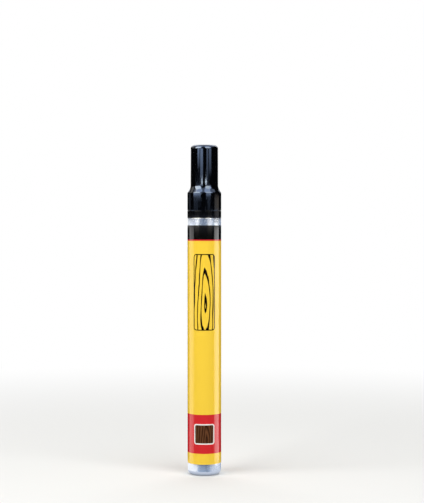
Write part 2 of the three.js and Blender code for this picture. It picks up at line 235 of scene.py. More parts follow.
# %% Reflector tent
TENT_STEPS = 12
CARD, COOL, PALE, WARM, AMBER = "#AFC6EE", "#C9DCF6", "#E6ECF7", "#FFF0D5", "#FFDDB4"
LABEL_PAPER = [(-118, -74, 2.0, 2.0, WHITE), (70, 112, 3.9, 3.9, WHITE), (164, 196, 0.7, 0.7, COOL)]
TENT = {
    "black card under the marker": ((6, 0.02), (110, 0.02), [(-180, 180, 0.01, 0.01, CARD)]),
    "black card round the marker": ((110, 0), (110, 149), [(-180, 180, 0.01, 0.006, CARD)]),
    "black card far off": ((900, 0), (900, 900), [(-180, 180, 0.006, 0.006, CARD)]),
    "table paper for the lines along the label": ((35, 0.05), (100, 0.05), LABEL_PAPER),
    "side paper for the lines along the label": ((100, 0), (100, 107), LABEL_PAPER),
    # Painted shade: these two rings glow dimmer close to the marker's foot and brighten outwards to 12 mm.
    # This is a painted contact shadow, which the base's rounded lower edge mirrors as a dark line.
    "paper with painted contact shadow where the marker stands": ((5, 0.05), (8, 0.05), [(-180, 180, 0.3, 0.85, PALE)]),
    "paper where the painted contact shadow fades round the foot": ((8, 0.05), (12, 0.05), [(-180, 180, 0.85, 1.05, PALE)]),
    "table paper for the bare metal at the base": ((12, 0.05), (34, 0.05), [
        (-180, -40, 1.2, 1.2, WHITE),
        (-40, -29, 0.9, 0.85, COOL),
        (-29, 4, 0.7, 0.65, COOL),
        (4, 20, 0.55, 0.5, COOL),
        (20, 36, 0.75, 0.7, COOL),
        (36, 120, 0.95, 0.95, PALE),
        (120, 180, 0.7, 0.7, COOL),
    ]),
    "ring for the bare metal under the collar": ((100, 106.9), (100, 110.6), [
        (-180, -112, 1.2, 1.2, WHITE),
        (-112, -74, 1.1, 1.1, PALE),
        (-74, -66, 1.3, 1.3, COOL),
        (-66, -34, 2.6, 2.6, WHITE),
        (-34, 22, 1.15, 1.15, COOL),
        (22, 52, 2.4, 2.4, WHITE),
        (52, 66, 1.5, 1.5, COOL),
        (66, 112, 0.05, 0.05, COOL),
        (112, 180, 0.6, 0.6, COOL),
    ]),
    "left edge of the cap's skirt": ((100, 115), (100, 124), [(-125, -106, 0.15, 0.15, WHITE)]),
    "faint streaks on the skirt": ((100, 115), (100, 121), [
        (-74, -44, 0.16, 0.16, WHITE),
        (24, 38, 0.18, 0.18, WHITE),
    ]),
    "right edge of the collar": ((100, 111), (100, 114.5), [(72, 112, 0.6, 0.6, WHITE)]),
    "right edge of the skirt": ((100, 114.5), (100, 122), [(72, 112, 0.6, 0.6, AMBER)]),
    "bright streaks just under the shoulder": ((100, 122.6), (100, 126), [
        (-76, -24, 3.6, 3.6, WHITE),
        (12, 44, 2.6, 2.6, WHITE),
    ]),
    "left streak on the narrow part": ((100, 136), (100, 148), [(-57, -39, 0.1, 2.8, WHITE)]),
    "middle streaks on the narrow part": ((100, 130), (100, 148), [
        (-33, -11, 0.6, 2.5, WHITE),
        (18, 32, 0.4, 1.2, WHITE),
    ]),
    "right streak on the narrow part": ((100, 134), (100, 148), [(38, 58, 0.4, 1.6, WHITE)]),
    "streaks on the back of the narrow part": ((100, 126), (100, 148), [
        (156, 168, 0.4, 1.8, WHITE),
        (-174, -154, 0.5, 2.4, WHITE),
    ]),
    "sparks at the foot of the streaks": ((99, 128.6), (99, 129.7), [
        (-26, -12, 20.0, 20.0, WARM),
        (7, 21, 22.0, 22.0, WARM),
    ]),
    "soft paper high up, for the side of the hollow": ((400, 225), (400, 440), [(-130, -98, 0.8, 0.8, WARM)]),
    "bright paper high up, for the hollow under the narrow part": ((400, 225), (400, 585), [
        (-84, -33, 9.5, 9.5, WARM),
        (12, 48, 7.0, 7.0, WARM),
    ]),
}
tent_work = bmesh.new()
glow = tent_work.verts.layers.float_color.new("glow")


def tent_edge(radius, height, from_round, to_round, brightness, tint):
    edge = []
    for step in range(TENT_STEPS + 1):
        turn = math.radians(from_round + (to_round - from_round) * step / TENT_STEPS)
        spot = Vector((math.sin(turn) * radius, -math.cos(turn) * radius, height)) * MM
        edge.append(tent_work.verts.new(spot))
        edge[-1][glow] = [brightness * channel for channel in linear(tint)]
    return edge


def mesh_from(work, name):
    mesh = bpy.data.meshes.new(name)
    work.to_mesh(mesh)
    work.free()
    return mesh


for low_ring, high_ring, strips in TENT.values():
    for from_round, to_round, low_glow, high_glow, tint in strips:
        low = tent_edge(*low_ring, from_round, to_round, low_glow, tint)
        high = tent_edge(*high_ring, from_round, to_round, high_glow, tint)
        for step in range(TENT_STEPS):
            tent_work.faces.new((low[step], low[step + 1], high[step + 1], high[step]))
tent_mesh = mesh_from(tent_work, "reflector_tent")
tent = place_object("reflector_tent", tent_mesh)
for kind in ("camera", "diffuse", "transmission", "shadow", "volume_scatter"):
    setattr(tent, "visible_" + kind, False)
lit_paper = bpy.data.materials.new("lit_paper")
lit_paper.use_nodes = True
lit_paper.cycles.emission_sampling = "NONE"
tree = lit_paper.node_tree
tree.nodes.clear()
shade = add_node(tree, "ShaderNodeAttribute", attribute_name="glow")
light = add_node(tree, "ShaderNodeEmission", inputs={"Color": shade.outputs["Color"]})
add_node(tree, "ShaderNodeOutputMaterial", inputs={"Surface": light.outputs[0]})
tent_mesh.materials.append(lit_paper)
print("tent faces:", len(tent_mesh.polygons))

# %% [markdown]
# ## Turning a piece
# Almost every piece is round, so it is drawn as half an outline and spun about the marker's axis, as a
# lathe or a mould would make it. Real edges are never quite sharp, so each corner of an outline carries the
# radius of its rounding, and the rounding is worked out as an arc that touches both sides of the corner.
# Smooth shading would let the rounded edges bend the light on the long walls beside them, so a Weighted
# Normal modifier lets the large faces decide. Outlines are in millimetres, as radius and height.

# %% Turning a piece
ARC_STEPS = 6
SHELL_SIDES, INNER_SIDES = 144, 72
SHARP_ANGLE = math.radians(32)
FINE_EDGE, SMALL_EDGE, SOFT_EDGE = 0.1, 0.2, 0.3
WELD_DISTANCE = 0.001
LARGE_FACES_DECIDE = 100


def round_size(node):
    low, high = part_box(node)
    return high.x / MM, low.z / MM, high.z / MM


def rounded(corners):
    points = [Vector(corner[:2]) for corner in corners]
    outline = [points[0]]
    for index in range(1, len(corners) - 1):
        corner = points[index]
        radius = corners[index][2] if len(corners[index]) == 3 else 0
        if radius == 0:
            outline.append(corner)
            continue
        back = (points[index - 1] - corner).normalized()
        ahead = (points[index + 1] - corner).normalized()
        half = back.angle(ahead) / 2
        centre = corner + (back + ahead).normalized() * radius / math.sin(half)
        first = corner + back * radius / math.tan(half) - centre
        last = corner + ahead * radius / math.tan(half) - centre
        for step in range(ARC_STEPS + 1):
            outline.append(centre + first.slerp(last, step / ARC_STEPS).normalized() * radius)
    return outline + [points[-1]]


def turned_mesh(name, corners, sides):
    work = bmesh.new()
    points = [work.verts.new((radius * MM, 0, height * MM)) for radius, height in rounded(corners)]
    edges = [work.edges.new(pair) for pair in zip(points, points[1:])]
    bmesh.ops.spin(work, geom=points + edges, cent=(0, 0, 0), axis=(0, 0, 1), angle=2 * math.pi, steps=sides)
    bmesh.ops.remove_doubles(work, verts=work.verts, dist=WELD_DISTANCE * MM)
    bmesh.ops.recalc_face_normals(work, faces=work.faces)
    for face in work.faces:
        face.smooth = True
    mesh = mesh_from(work, name)
    mesh.set_sharp_from_angle(angle=SHARP_ANGLE)
    return mesh


def make_piece(name, mesh, material, body, node):
    piece = place_object(name, mesh)
    mesh.materials.append(material)
    shading = piece.modifiers.new("even_shading", "WEIGHTED_NORMAL")
    shading.weight = LARGE_FACES_DECIDE
    shading.keep_sharp = True
    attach(piece, body)
    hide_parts(node)
    print(f"{name}: {len(mesh.polygons)} faces for {node}")
    return piece


print("sides of a shell:", SHELL_SIDES, "and of an inner piece:", INNER_SIDES)

# %% [markdown]
# ## Drawn aluminium
# The barrel is impact-extruded and drawn over a punch, then washed and lacquered. Drawing leaves fine lines
# along the tube, which spread a reflection sideways, so the bare metal shows broad soft bands and not a
# mirror image. The real lines are a few hundredths of a millimetre wide; here they are drawn 0.25 mm wide,
# so that they show. Every material from here on starts from Blender's Principled shader, so one function
# makes it and fills in the values that are the same all over.

# %% Drawn aluminium
DRAW_LINE, LINE_STRETCH = 0.25, 0.02


def start_material(name, values):
    material = bpy.data.materials.new(name)
    material.use_nodes = True
    shader = material.node_tree.nodes["Principled BSDF"]
    for socket, value in values.items():
        shader.inputs[socket].default_value = value
    return material, material.node_tree, shader


aluminium, tree, shader = start_material(
    "drawn_aluminium", {"Metallic": 1.0, "Base Color": linear("#DDE3EC"), "Anisotropic": 0.8})
place = add_node(tree, "ShaderNodeTexCoord")
stretch = add_node(tree, "ShaderNodeMapping",
                   inputs={"Vector": place.outputs["Object"], "Scale": (1, 1, LINE_STRETCH)})
lines = add_node(tree, "ShaderNodeTexNoise",
                 inputs={"Vector": stretch.outputs[0], "Scale": per_metre(DRAW_LINE), "Detail": 3.0})
rough = add_node(tree, "ShaderNodeMapRange",
                 inputs={"Value": lines.outputs["Fac"], "To Min": 0.16, "To Max": 0.26})
relief = add_node(tree, "ShaderNodeBump",
                  inputs={"Height": lines.outputs["Fac"], "Strength": 0.25, "Distance": 0.01 * MM})
around = add_node(tree, "ShaderNodeTangent", direction_type="RADIAL", axis="Z")
tree.links.new(rough.outputs[0], shader.inputs["Roughness"])
tree.links.new(relief.outputs[0], shader.inputs["Normal"])
tree.links.new(around.outputs[0], shader.inputs["Tangent"])
print("made", aluminium.name)

# %% [markdown]
# ## Barrel
# A long thin can. The base turns up with a 2 mm corner and has a shallow dish under it, which leaves a
# narrow ring to stand on. The mouth's edge is trimmed and lightly rolled.

# %% Barrel
BARREL_RADIUS, BARREL_BOTTOM, BARREL_TOP = round_size("barrel")
BARREL_WALL, FLOOR_TOP, DISH_RADIUS, DISH_DEPTH = 0.4, 1.3, 3.7, 0.4
BASE_CORNER, MOUTH_EDGE = 2.0, 0.15
barrel_bore = BARREL_RADIUS - BARREL_WALL
barrel_outline = [
    (0, BARREL_BOTTOM + DISH_DEPTH),
    (DISH_RADIUS, BARREL_BOTTOM + DISH_DEPTH, SMALL_EDGE),
    (DISH_RADIUS + DISH_DEPTH, BARREL_BOTTOM, SMALL_EDGE),
    (BARREL_RADIUS, BARREL_BOTTOM, BASE_CORNER),
    (BARREL_RADIUS, BARREL_TOP, MOUTH_EDGE),
    (barrel_bore, BARREL_TOP, MOUTH_EDGE),
    (barrel_bore, FLOOR_TOP, BASE_CORNER - BARREL_WALL),
    (0, FLOOR_TOP),
]
barrel_mesh = turned_mesh("barrel_tube", barrel_outline, SHELL_SIDES)
make_piece("barrel_tube", barrel_mesh, aluminium, "barrel_body", "barrel")

# %% [markdown]
# ## Printed film
# The label is a plastic film printed from behind a clear laminate. The ink gives flat, strong colour and
# the laminate a soft gloss. A film stretched over a tube is never perfectly flat, so a faint waviness,
# about 3 mm across, loosens the edges of its reflections. The black band is a heavy solid of ink, which
# leaves the film smoother there. One function makes the film in each ink.

# %% Printed film
YELLOW_INK, RED_INK, BLACK_INK = "#F7CE3E", "#D2262C", "#090807"
FILM_ROUGHNESS, SOLID_BLACK_ROUGHNESS = 0.19, 0.12
FILM_WAVE = 3.0


def printed_film(name, ink, roughness):
    film, tree, shader = start_material(
        name, {"Base Color": linear(ink), "IOR": 1.49, "Roughness": roughness})
    place = add_node(tree, "ShaderNodeTexCoord")
    waves = add_node(tree, "ShaderNodeTexNoise",
                     inputs={"Vector": place.outputs["Object"], "Scale": per_metre(FILM_WAVE), "Detail": 2.0})
    relief = add_node(tree, "ShaderNodeBump",
                      inputs={"Height": waves.outputs["Fac"], "Strength": 0.2, "Distance": 0.02 * MM})
    tree.links.new(relief.outputs[0], shader.inputs["Normal"])
    return film


yellow_film = printed_film("yellow_printed_film", YELLOW_INK, FILM_ROUGHNESS)
red_film = printed_film("red_printed_film", RED_INK, FILM_ROUGHNESS)
black_film = printed_film("black_printed_film", BLACK_INK, SOLID_BLACK_ROUGHNESS)
print("inks:", yellow_film.name, red_film.name, black_film.name)

# %% [markdown]
# ## Wrap label
# The label starts as a flat strip and is wrapped round the barrel, with its two ends meeting at the back.
# Its rows of faces end where the inks change, so each band is a crisp edge in the mesh and not a blur in a
# picture. The strip is then thickened inwards to the film's own thickness.

# %% Wrap label
LABEL_RADIUS, LABEL_BOTTOM, LABEL_TOP = round_size("wrap_label")
LABEL_THICKNESS, SEAM_WIDTH, LABEL_COLUMNS = 0.07, 0.8, 160
RED_BOTTOM, RED_TOP = 9.65, 26.45
LINE_BOTTOM, LINE_TOP = 101.0, 101.55
YELLOW, RED, BLACK = 0, 1, 2
levels = [LABEL_BOTTOM, RED_BOTTOM, RED_TOP, LINE_BOTTOM, LINE_TOP, LABEL_TOP]
inks = [YELLOW, RED, YELLOW, RED, BLACK]
wrap = 2 * math.pi - SEAM_WIDTH / LABEL_RADIUS
turns = [wrap * (column / LABEL_COLUMNS - 0.5) for column in range(LABEL_COLUMNS + 1)]
label_work = bmesh.new()
label_rows = []
for level in levels:
    spots = [(math.sin(turn) * LABEL_RADIUS, -math.cos(turn) * LABEL_RADIUS, level) for turn in turns]
    label_rows.append([label_work.verts.new(Vector(spot) * MM) for spot in spots])
for ink, low, high in zip(inks, label_rows, label_rows[1:]):
    for column in range(LABEL_COLUMNS):
        face = label_work.faces.new((low[column], low[column + 1], high[column + 1], high[column]))
        face.material_index = ink
        face.smooth = True
label_work.normal_update()
bmesh.ops.solidify(label_work, geom=label_work.faces, thickness=LABEL_THICKNESS * MM)
label_mesh = mesh_from(label_work, "label_film")
label_mesh.set_sharp_from_angle(angle=SHARP_ANGLE)
make_piece("label_film", label_mesh, yellow_film, "barrel_body", "wrap_label")
label_mesh.materials.append(red_film)
label_mesh.materials.append(black_film)

# %% [markdown]
# ## Label artwork
# A label for wood stain can show what the stain is for. Here a board with rounded corners, its outline and
# its grain drawn in black lines, stands on the yellow, and a swatch of stained wood in a white frame on the
# red. Both are drawn on the flat print: the way round the barrel is unrolled into millimetres across, and
# the height into millimetres up. Grain lines are rings round a long, thin heart, bent by noise, as a
# flat-sawn board shows them.

# %% Drawing on the flat print
BEND_SPACING, BEND_REACH = 2.2, 1.6


def print_place(tree):
    where = add_node(tree, "ShaderNodeTexCoord")
    axes = add_node(tree, "ShaderNodeSeparateXYZ", inputs={0: where.outputs["Object"]})
    front = add_node(tree, "ShaderNodeMath", operation="MULTIPLY", inputs={0: axes.outputs["Y"], 1: -1.0})
    turn = add_node(tree, "ShaderNodeMath", operation="ARCTAN2",
                    inputs={0: axes.outputs["X"], 1: front.outputs[0]})
    across = add_node(tree, "ShaderNodeMath", operation="MULTIPLY",
                      inputs={0: turn.outputs[0], 1: LABEL_RADIUS})
    up = add_node(tree, "ShaderNodeMath", operation="MULTIPLY", inputs={0: axes.outputs["Z"], 1: 1 / MM})
    flat = add_node(tree, "ShaderNodeCombineXYZ", inputs={"X": across.outputs[0], "Y": up.outputs[0]})
    return flat.outputs[0]


def inside_frame(tree, place, centre, half_size, corner):
    moved = add_node(tree, "ShaderNodeVectorMath", operation="SUBTRACT", inputs={0: place, 1: (*centre, 0)})
    folded = add_node(tree, "ShaderNodeVectorMath", operation="ABSOLUTE", inputs={0: moved.outputs[0]})
    core = (half_size[0] - corner, half_size[1] - corner, 1)
    beyond = add_node(tree, "ShaderNodeVectorMath", operation="SUBTRACT",
                      inputs={0: folded.outputs[0], 1: core})
    beyond = add_node(tree, "ShaderNodeVectorMath", operation="MAXIMUM", inputs={0: beyond.outputs[0]})
    reach = add_node(tree, "ShaderNodeVectorMath", operation="LENGTH", inputs={0: beyond.outputs[0]})
    inside = add_node(tree, "ShaderNodeMath", operation="LESS_THAN",
                      inputs={0: reach.outputs["Value"], 1: corner})
    return inside.outputs[0]


def grain_rings(tree, place, heart, pitch, thinness):
    moved = add_node(tree, "ShaderNodeVectorMath", operation="SUBTRACT", inputs={0: place, 1: (*heart, 0)})
    slim = add_node(tree, "ShaderNodeVectorMath", operation="MULTIPLY",
                    inputs={0: moved.outputs[0], 1: (1, thinness, 1)})
    radius = add_node(tree, "ShaderNodeVectorMath", operation="LENGTH", inputs={0: slim.outputs[0]})
    bend = add_node(tree, "ShaderNodeTexNoise",
                    inputs={"Vector": slim.outputs[0], "Scale": 1 / (BEND_SPACING * pitch), "Detail": 2.0})
    bent = add_node(tree, "ShaderNodeMath", operation="MULTIPLY_ADD",
                    inputs={0: bend.outputs["Fac"], 1: BEND_REACH * pitch, 2: radius.outputs["Value"]})
    rings = add_node(tree, "ShaderNodeMath", operation="PINGPONG", inputs={0: bent.outputs[0], 1: pitch / 2})
    return rings.outputs[0]


print("the print's width, unrolled:", round(wrap * LABEL_RADIUS, 1), "mm")

# %% Board on the yellow
MIX_A, MIX_B, MIX_RESULT = 6, 7, 2
BOARD_CENTRE, BOARD_HALF, BOARD_CORNER, BOARD_OUTLINE = (0, 79), (4.9, 16.4), 1.4, 0.42
GRAIN_HEART, GRAIN_PITCH, GRAIN_THINNESS, LINE_CORE, LINE_EDGE = (0.5, 72.5), 1.55, 0.13, 0.19, 0.27
tree = yellow_film.node_tree
place = print_place(tree)
board = inside_frame(tree, place, BOARD_CENTRE, BOARD_HALF, BOARD_CORNER)
inner_half = [size - BOARD_OUTLINE for size in BOARD_HALF]
picture = inside_frame(tree, place, BOARD_CENTRE, inner_half, BOARD_CORNER - BOARD_OUTLINE)
rings = grain_rings(tree, place, GRAIN_HEART, GRAIN_PITCH, GRAIN_THINNESS)
gap = add_node(tree, "ShaderNodeMapRange",
               inputs={"Value": rings, "From Min": LINE_CORE, "From Max": LINE_EDGE})
unprinted = add_node(tree, "ShaderNodeMath", operation="MULTIPLY", inputs={0: gap.outputs[0], 1: picture})
ink = add_node(tree, "ShaderNodeMath", operation="SUBTRACT", inputs={0: board, 1: unprinted.outputs[0]})
printed = add_node(tree, "ShaderNodeMix", data_type="RGBA",
                   inputs={"Factor": ink.outputs[0], MIX_A: linear(YELLOW_INK), MIX_B: linear(BLACK_INK)})
tree.links.new(printed.outputs[MIX_RESULT], tree.nodes["Principled BSDF"].inputs["Base Color"])
print("board drawn on", yellow_film.name)

# %% Swatch on the red
SWATCH_CENTRE, SWATCH_HALF, SWATCH_FRAME = (0, 18.05), (4.6, 4.4), 0.5
FRAME_CORNER, PICTURE_CORNER, FRAME_COLOUR = 1.0, 0.6, "#F3F1EC"
WOOD_HEART, WOOD_PITCH, WOOD_THINNESS = (1.0, 15.0), 1.0, 0.2
DARK_WOOD, LIGHT_WOOD = "#2C170D", "#6B4226"
tree = red_film.node_tree
place = print_place(tree)
framed = inside_frame(tree, place, SWATCH_CENTRE, SWATCH_HALF, FRAME_CORNER)
inner_half = [size - SWATCH_FRAME for size in SWATCH_HALF]
picture = inside_frame(tree, place, SWATCH_CENTRE, inner_half, PICTURE_CORNER)
rings = grain_rings(tree, place, WOOD_HEART, WOOD_PITCH, WOOD_THINNESS)
wood = add_node(tree, "ShaderNodeMapRange", inputs={"Value": rings, "From Max": WOOD_PITCH / 2})
stained = add_node(tree, "ShaderNodeMix", data_type="RGBA",
                   inputs={"Factor": wood.outputs[0], MIX_A: linear(DARK_WOOD), MIX_B: linear(LIGHT_WOOD)})
printed = add_node(tree, "ShaderNodeMix", data_type="RGBA",
                   inputs={"Factor": framed, MIX_A: linear(RED_INK), MIX_B: linear(FRAME_COLOUR)})
printed = add_node(tree, "ShaderNodeMix", data_type="RGBA",
                   inputs={"Factor": picture, MIX_A: printed.outputs[MIX_RESULT],
                           MIX_B: stained.outputs[MIX_RESULT]})
tree.links.new(printed.outputs[MIX_RESULT], tree.nodes["Principled BSDF"].inputs["Base Color"])
print("swatch drawn on", red_film.name)

# %% [markdown]
# ## Moulded black plastics
# The cap is moulded in a polished tool, so it comes out like black glass, with only a faint waviness where
# the plastic shrank, about 4 mm across, and a slight dulling from handling. It is polystyrene, and its
# gloss has a cold, bluish cast. The nib holder is polypropylene from a plainer tool and has a weaker sheen.
# Both are coloured through with carbon black.

# %% Moulded black plastics
CARBON_BLACK = "#030304"
POLISHED, HANDLED = 0.07, 0.112
HANDLING_SPOT, SHRINKAGE_WAVE = 0.8, 4.0


def moulded_black(name, gloss, strength, waviness):
    plastic, tree, shader = start_material(name, {
        "Base Color": linear(CARBON_BLACK), "IOR": 1.59,
        "Specular IOR Level": strength, "Specular Tint": linear(gloss)})
    place = add_node(tree, "ShaderNodeTexCoord").outputs["Object"]
    handling = add_node(tree, "ShaderNodeTexNoise",
                        inputs={"Vector": place, "Scale": per_metre(HANDLING_SPOT), "Detail": 4.0})
    dulling = add_node(tree, "ShaderNodeMapRange",
                       inputs={"Value": handling.outputs["Fac"], "To Min": POLISHED, "To Max": HANDLED})
    shrinkage = add_node(tree, "ShaderNodeTexNoise",
                         inputs={"Vector": place, "Scale": per_metre(SHRINKAGE_WAVE), "Detail": 1.0})
    relief = add_node(tree, "ShaderNodeBump",
                      inputs={"Height": shrinkage.outputs["Fac"], "Strength": 0.3, "Distance": waviness * MM})
    tree.links.new(dulling.outputs[0], shader.inputs["Roughness"])
    tree.links.new(relief.outputs[0], shader.inputs["Normal"])
    return plastic


gloss_black = moulded_black("gloss_black_polystyrene", gloss="#B5D0FF", strength=1.0, waviness=0.03)
satin_black = moulded_black("satin_black_polypropylene", gloss="#E8F0FF", strength=0.45, waviness=0.02)
print("plastics:", gloss_black.name, satin_black.name)

# %% [markdown]
# ## Nib holder
# A plug with sealing ribs sits in the barrel. Above it come the collar that shows under the cap, the spigot
# with a small bead that grips the cap, a cone, and the nose that guides the nib. Four grooves down the
# nose's channel feed stain along the nib. They are made by pushing some columns of the channel's wall
# outwards.

# %% Nib holder
_, PLUG_BOTTOM, NOSE_TOP = round_size("nib_holder")
PLUG_RADIUS, PLUG_LEAD, SOCKET_RADIUS, SEAT = 6.5, 0.5, 5.5, 105.15
RIB_HEIGHT, RIB_HALF, RIB_LEVELS = 0.22, 0.4, (103.6, 106.0, 108.4)
JOINT_GAP = 0.05
COLLAR_BOTTOM, COLLAR_TOP, COLLAR_CHAMFER, COLLAR_EDGE = BARREL_TOP + JOINT_GAP, 113.94, 0.15, 0.06
SPIGOT_RADIUS, SPIGOT_TOP, CONE_ROUNDING = 6.15, 120.15, 0.5
BEAD_LEVEL, BEAD_HALF, BEAD_HEIGHT, BEAD_ROUNDING = 116.975, 0.5, 0.1, 0.4
NOSE_RADIUS, NOSE_BOTTOM, NOSE_CHAMFER = 4.1, 122.8, 0.7
CHANNEL_RADIUS, CHANNEL_CHAMFER = 2.6, 0.3
ribs = []
for level in RIB_LEVELS:
    ribs.append((PLUG_RADIUS, level - RIB_HALF))
    ribs.append((PLUG_RADIUS + RIB_HEIGHT, level, FINE_EDGE))
    ribs.append((PLUG_RADIUS, level + RIB_HALF))
holder_outline = [
    (SOCKET_RADIUS, PLUG_BOTTOM),
    (PLUG_RADIUS - PLUG_LEAD, PLUG_BOTTOM, FINE_EDGE),
    (PLUG_RADIUS, PLUG_BOTTOM + PLUG_LEAD, FINE_EDGE),
    *ribs,
    (PLUG_RADIUS, COLLAR_BOTTOM),
    (LABEL_RADIUS, COLLAR_BOTTOM, FINE_EDGE),
    (LABEL_RADIUS, COLLAR_TOP - COLLAR_CHAMFER, COLLAR_EDGE),
    (LABEL_RADIUS - COLLAR_CHAMFER, COLLAR_TOP, COLLAR_EDGE),
    (SPIGOT_RADIUS, COLLAR_TOP, FINE_EDGE),
    (SPIGOT_RADIUS, BEAD_LEVEL - BEAD_HALF),
    (SPIGOT_RADIUS + BEAD_HEIGHT, BEAD_LEVEL, BEAD_ROUNDING),
    (SPIGOT_RADIUS, BEAD_LEVEL + BEAD_HALF),
    (SPIGOT_RADIUS, SPIGOT_TOP, CONE_ROUNDING),
    (NOSE_RADIUS, NOSE_BOTTOM, CONE_ROUNDING),
    (NOSE_RADIUS, NOSE_TOP - NOSE_CHAMFER, SOFT_EDGE),
    (NOSE_RADIUS - NOSE_CHAMFER, NOSE_TOP, SMALL_EDGE),
    (CHANNEL_RADIUS + CHANNEL_CHAMFER, NOSE_TOP, FINE_EDGE),
    (CHANNEL_RADIUS, NOSE_TOP - CHANNEL_CHAMFER, FINE_EDGE),
    (CHANNEL_RADIUS, SEAT),
    (SOCKET_RADIUS, SEAT, FINE_EDGE),
    (SOCKET_RADIUS, PLUG_BOTTOM),
]
holder_mesh = turned_mesh("holder_moulding", holder_outline, SHELL_SIDES)
GROOVES, GROOVE_HALF, GROOVE_DEPTH, GROOVE_MARGIN = 4, 0.45, 0.5, 0.01
groove_reach = CHANNEL_RADIUS + CHANNEL_CHAMFER + GROOVE_MARGIN
groove_spacing = 2 * math.pi / GROOVES
for vertex in holder_mesh.vertices:
    reach = vertex.co.xy.length
    turn = math.atan2(vertex.co.y, vertex.co.x) % groove_spacing
    off_centre = min(turn, groove_spacing - turn) * reach
    if reach < groove_reach * MM and off_centre < GROOVE_HALF * MM:
        vertex.co.xy *= (CHANNEL_RADIUS + GROOVE_DEPTH) * MM / reach
make_piece("holder_moulding", holder_mesh, satin_black, "barrel_body", "nib_holder")

# %% [markdown]
# ## Felt nib
# Polyester fibres run along the nib, bonded with resin and ground to a bullet. The fibres show as fine
# streaks, and the ground tip as a soft nap. A real fibre is about 0.03 mm thick; the streaks are drawn
# 0.12 mm wide to show.

# %% Felt nib
FIBRE_STREAK, FIBRE_STRETCH = 0.12, 0.08
DARK_FELT, LIGHT_FELT = "#CFC5AC", "#F4EEDF"
felt, tree, shader = start_material("bonded_polyester_felt", {"Roughness": 0.92, "Sheen Weight": 0.25})
place = add_node(tree, "ShaderNodeTexCoord")
along = add_node(tree, "ShaderNodeMapping",
                 inputs={"Vector": place.outputs["Object"], "Scale": (1, 1, FIBRE_STRETCH)})
fibres = add_node(tree, "ShaderNodeTexNoise",
                  inputs={"Vector": along.outputs[0], "Scale": per_metre(FIBRE_STREAK), "Detail": 4.0})
shade = add_node(tree, "ShaderNodeMix", data_type="RGBA",
                 inputs={"Factor": fibres.outputs["Fac"],
                         MIX_A: linear(DARK_FELT), MIX_B: linear(LIGHT_FELT)})
relief = add_node(tree, "ShaderNodeBump",
                  inputs={"Height": fibres.outputs["Fac"], "Strength": 0.6, "Distance": 0.05 * MM})
tree.links.new(shade.outputs[MIX_RESULT], shader.inputs["Base Color"])
tree.links.new(relief.outputs[0], shader.inputs["Normal"])

NIB_RADIUS, NIB_REAR, NIB_TIP = round_size("felt_nib")
DOME_HEIGHT, DOME_STEPS = 3.6, 16
dome_base = NIB_TIP - DOME_HEIGHT
dome_angles = [math.radians(90 * step / DOME_STEPS) for step in range(DOME_STEPS)]
dome = [(NIB_RADIUS * math.cos(a), dome_base + DOME_HEIGHT * math.sin(a)) for a in dome_angles]
nib_outline = [(0, NIB_REAR), (NIB_RADIUS, NIB_REAR, SOFT_EDGE), *dome, (0, NIB_TIP)]
nib_mesh = turned_mesh("nib_felt", nib_outline, INNER_SIDES)
make_piece("nib_felt", nib_mesh, felt, "nib_body", "felt_nib")

# %% [markdown]
# ## Cap
# The cap has a wide skirt that stands flush with the collar, a shoulder that curves in, and a narrow top
# with a rounded edge. The shoulder is a short cone. A rounding leads into it from the skirt, and a hollow
# one out of it to the narrow part, and these two catch the lamps.

# %% Cap
CAP_RADIUS, CAP_RIM, CAP_TOP = round_size("cap_shell")
CAP_TOP_RADIUS, CAP_BORE, SKIRT_BORE, CAP_INNER_TOP = 5.95, 4.95, 6.3, 141.05
SHOULDER_BOTTOM, SHOULDER_TOP = 121.7, 123.9
INNER_STEP_BOTTOM, INNER_STEP_TOP = 120.3, 123.8
RIM_INNER_EDGE, RIM_EDGE, SKIRT_CORNER, SHOULDER_HOLLOW, TOP_CORNER = 0.15, 0.12, 1.1, 4.0, 1.7
cap_outline = [
    (0, CAP_INNER_TOP),
    (CAP_BORE, CAP_INNER_TOP, FINE_EDGE),
    (CAP_BORE, INNER_STEP_TOP),
    (SKIRT_BORE, INNER_STEP_BOTTOM),
    (SKIRT_BORE, CAP_RIM, RIM_INNER_EDGE),
    (CAP_RADIUS, CAP_RIM, RIM_EDGE),
    (CAP_RADIUS, SHOULDER_BOTTOM, SKIRT_CORNER),
    (CAP_TOP_RADIUS, SHOULDER_TOP, SHOULDER_HOLLOW),
    (CAP_TOP_RADIUS, CAP_TOP, TOP_CORNER),
    (0, CAP_TOP),
]
cap_mesh = turned_mesh("cap_moulding", cap_outline, SHELL_SIDES)
make_piece("cap_moulding", cap_mesh, gloss_black, "cap_body", "cap_shell")

# %% [markdown]
# ## Natural plastics
# The inner seal, plunger and cage are moulded without colour. Such plastic is milky: light goes a little
# way in and comes out again, which softens its shading. Where the melt flowed it is a shade darker, in
# patches about 1.5 mm across.

# %% Natural plastics
FLOW_PATCH, FLOW_SHADE = 1.5, 0.86


def natural_plastic(name, colour, roughness, depth):
    plastic, tree, shader = start_material(name, {
        "Roughness": roughness, "Subsurface Weight": 0.3, "Subsurface Scale": 1.0,
        "Subsurface Radius": (depth * MM, depth * MM, depth * MM)})
    place = add_node(tree, "ShaderNodeTexCoord")
    flow = add_node(tree, "ShaderNodeTexNoise",
                    inputs={"Vector": place.outputs["Object"], "Scale": per_metre(FLOW_PATCH), "Detail": 2.0})
    dark = (*(FLOW_SHADE * channel for channel in linear(colour)[:3]), 1.0)
    shade = add_node(tree, "ShaderNodeMix", data_type="RGBA",
                     inputs={"Factor": flow.outputs["Fac"], MIX_A: dark, MIX_B: linear(colour)})
    tree.links.new(shade.outputs[MIX_RESULT], shader.inputs["Base Color"])
    return plastic


milky_polyethylene = natural_plastic("natural_polyethylene", colour="#EDEBE4", roughness=0.42, depth=0.8)
milky_acetal = natural_plastic("natural_acetal", colour="#F1EFE6", roughness=0.35, depth=0.5)
milky_polypropylene = natural_plastic("natural_polypropylene", colour="#E8E6DD", roughness=0.4, depth=0.7)
print("natural plastics:", milky_polyethylene.name, milky_acetal.name, milky_polypropylene.name)

